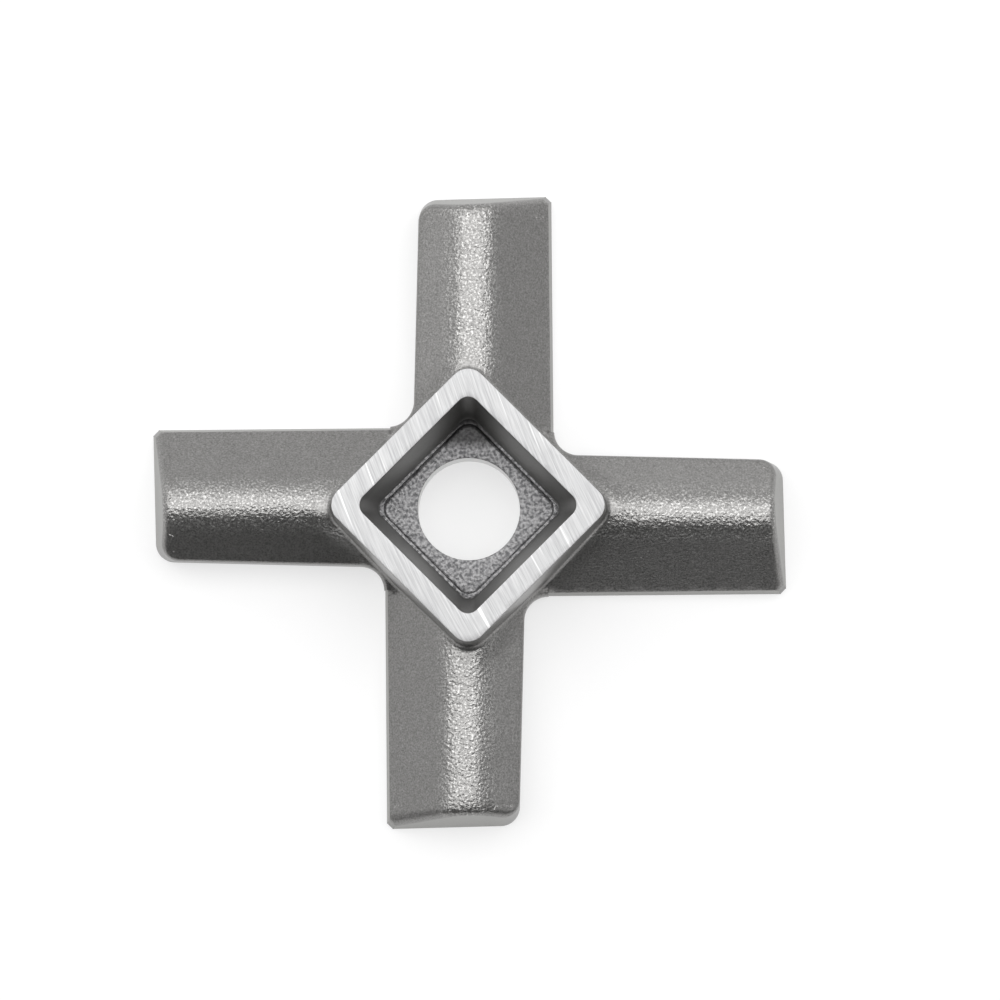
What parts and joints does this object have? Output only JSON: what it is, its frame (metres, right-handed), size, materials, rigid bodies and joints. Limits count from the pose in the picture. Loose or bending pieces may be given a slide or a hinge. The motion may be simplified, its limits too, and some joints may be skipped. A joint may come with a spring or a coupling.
{
  "type": "meat grinder knife",
  "caption": "Cross-shaped steel knife of a meat grinder: ridged arms with straight cutting edges, and a raised square hub with a tapered drive socket and a round pilot bore.",
  "frame": {"origin": "middle of the pilot bore on the flat ground cutting face", "axes": "+Z along the bore from the cutting face to the hub, +X along one arm, +Y along the next arm"},
  "size_m": [0.05, 0.05, 0.011],
  "materials": {
    "cast_steel": "shot-blasted as cast, with the cutting face, the arm ends, the narrow lands and the top of the hub ground"
  },
  "bodies": {
    "root": {"cross_knife": "cast_steel"}
  },
  "joints": []
}
